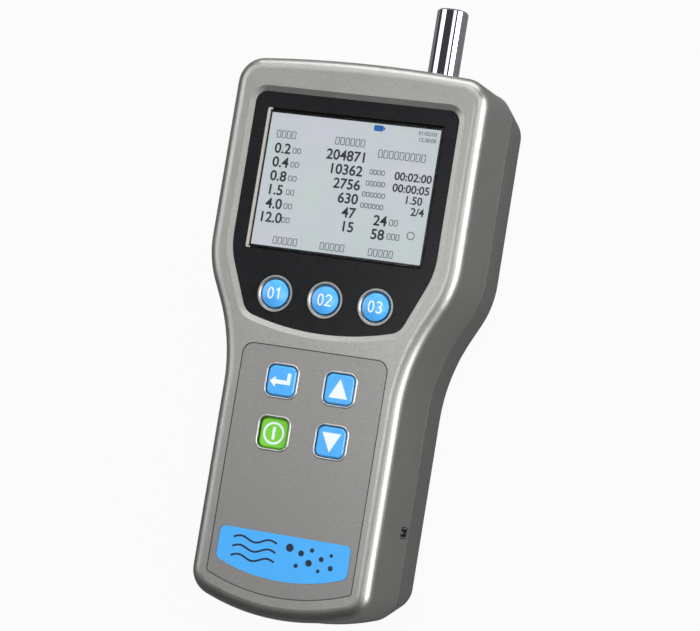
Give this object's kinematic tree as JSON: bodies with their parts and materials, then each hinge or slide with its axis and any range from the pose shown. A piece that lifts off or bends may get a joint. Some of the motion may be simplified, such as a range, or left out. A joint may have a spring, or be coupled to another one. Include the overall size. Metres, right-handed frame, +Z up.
{
  "type": "airborne particle counter",
  "caption": "Hand-held airborne particle counter with a waisted silver body, large display, soft-touch keys and an inlet probe tube on top.",
  "frame": {"origin": "on the surface that the back rests on, under the middle of the whole length from the foot of the grip to the tip of the inlet probe", "axes": "+X to the right of the display, +Y along the body towards the inlet probe, +Z up out of the display's face"},
  "size_m": [0.105, 0.2465, 0.0583],
  "materials": {
    "silver_case": "satin metallic silver paint with fine sparkle",
    "keypad_sheet": "fine-grained silver polyester sheet",
    "black_panel": "glossy black acrylic",
    "clear_window": "clear polished acrylic",
    "display_metal": "bright folded steel",
    "display_face": "pale blue-grey lit display",
    "backlight_plastic": "white diffuser",
    "key_blue": "light blue moulded plastic with white legends",
    "key_green": "green moulded plastic with a white legend",
    "label_blue": "light blue printed film",
    "probe_chrome": "polished chromed metal",
    "zinc_steel": "zinc plated",
    "circuit_board": "green solder mask",
    "black_plastic": "moulded black plastic",
    "grey_plastic": "moulded grey plastic",
    "silicone": "translucent silicone hose",
    "rubber_black": "moulded rubber",
    "chamber_aluminium": "black anodised aluminium",
    "brass": "turned brass",
    "filter_white": "white filter housing",
    "battery_wrap": "blue shrink wrap",
    "socket_steel": "bright drawn shell"
  },
  "bodies": {
    "case": {"front_case": "silver_case", "rear_case": "silver_case", "battery_cover": "silver_case", "battery_cover_screw": "zinc_steel", "case_screws": "zinc_steel", "screen_panel": "black_panel", "display_window": "clear_window", "lcd_frame": "display_metal", "lcd_glass": "display_face", "lcd_backlight": "backlight_plastic", "lcd_carrier": "grey_plastic", "keypad_overlay": "keypad_sheet", "name_label": "label_blue", "main_board": "circuit_board", "key_switches": "black_plastic", "board_screws": "zinc_steel", "board_chips": "black_plastic", "buzzer": "black_plastic", "humidity_sensor": "filter_white", "io_board": "circuit_board", "io_board_screws": "zinc_steel", "power_coil": "black_plastic", "usb_socket": "socket_steel", "inlet_probe": "probe_chrome", "probe_washer": "rubber_black", "probe_nut": "brass", "inlet_hose": "silicone", "chamber_hose": "silicone", "exhaust_hose": "silicone", "optics_chamber": "chamber_aluminium", "optics_lid": "chamber_aluminium", "optics_screws": "zinc_steel", "laser_module": "brass", "beam_trap": "chamber_aluminium", "photo_detector": "zinc_steel", "detector_board": "circuit_board", "pump_head": "grey_plastic", "pump_head_cover": "black_plastic", "pump_motor": "zinc_steel", "pump_cradle": "rubber_black", "exhaust_filter": "filter_white", "battery_pack": "battery_wrap", "battery_contacts": "socket_steel", "tripod_insert": "brass"},
    "f1_button": {"f1_key": "key_blue"},
    "f2_button": {"f2_key": "key_blue"},
    "f3_button": {"f3_key": "key_blue"},
    "enter_button": {"enter_key": "key_blue"},
    "power_button": {"power_key": "key_green"},
    "up_button": {"up_key": "key_blue"},
    "down_button": {"down_key": "key_blue"}
  },
  "joints": [
    {"name": "f1_press", "type": "slide", "parent": "case", "child": "f1_button", "axis": [0, 0, 1], "range_m": [-0.0008, 0], "stiffness_N_per_m": 400, "springref_m": 0.002},
    {"name": "f2_press", "type": "slide", "parent": "case", "child": "f2_button", "axis": [0, 0, 1], "range_m": [-0.0008, 0], "stiffness_N_per_m": 400, "springref_m": 0.002},
    {"name": "f3_press", "type": "slide", "parent": "case", "child": "f3_button", "axis": [0, 0, 1], "range_m": [-0.0008, 0], "stiffness_N_per_m": 400, "springref_m": 0.002},
    {"name": "enter_press", "type": "slide", "parent": "case", "child": "enter_button", "axis": [0, 0, 1], "range_m": [-0.0008, 0], "stiffness_N_per_m": 400, "springref_m": 0.002},
    {"name": "power_press", "type": "slide", "parent": "case", "child": "power_button", "axis": [0, 0, 1], "range_m": [-0.0008, 0], "stiffness_N_per_m": 400, "springref_m": 0.002},
    {"name": "up_press", "type": "slide", "parent": "case", "child": "up_button", "axis": [0, 0, 1], "range_m": [-0.0008, 0], "stiffness_N_per_m": 400, "springref_m": 0.002},
    {"name": "down_press", "type": "slide", "parent": "case", "child": "down_button", "axis": [0, 0, 1], "range_m": [-0.0008, 0], "stiffness_N_per_m": 400, "springref_m": 0.002}
  ]
}
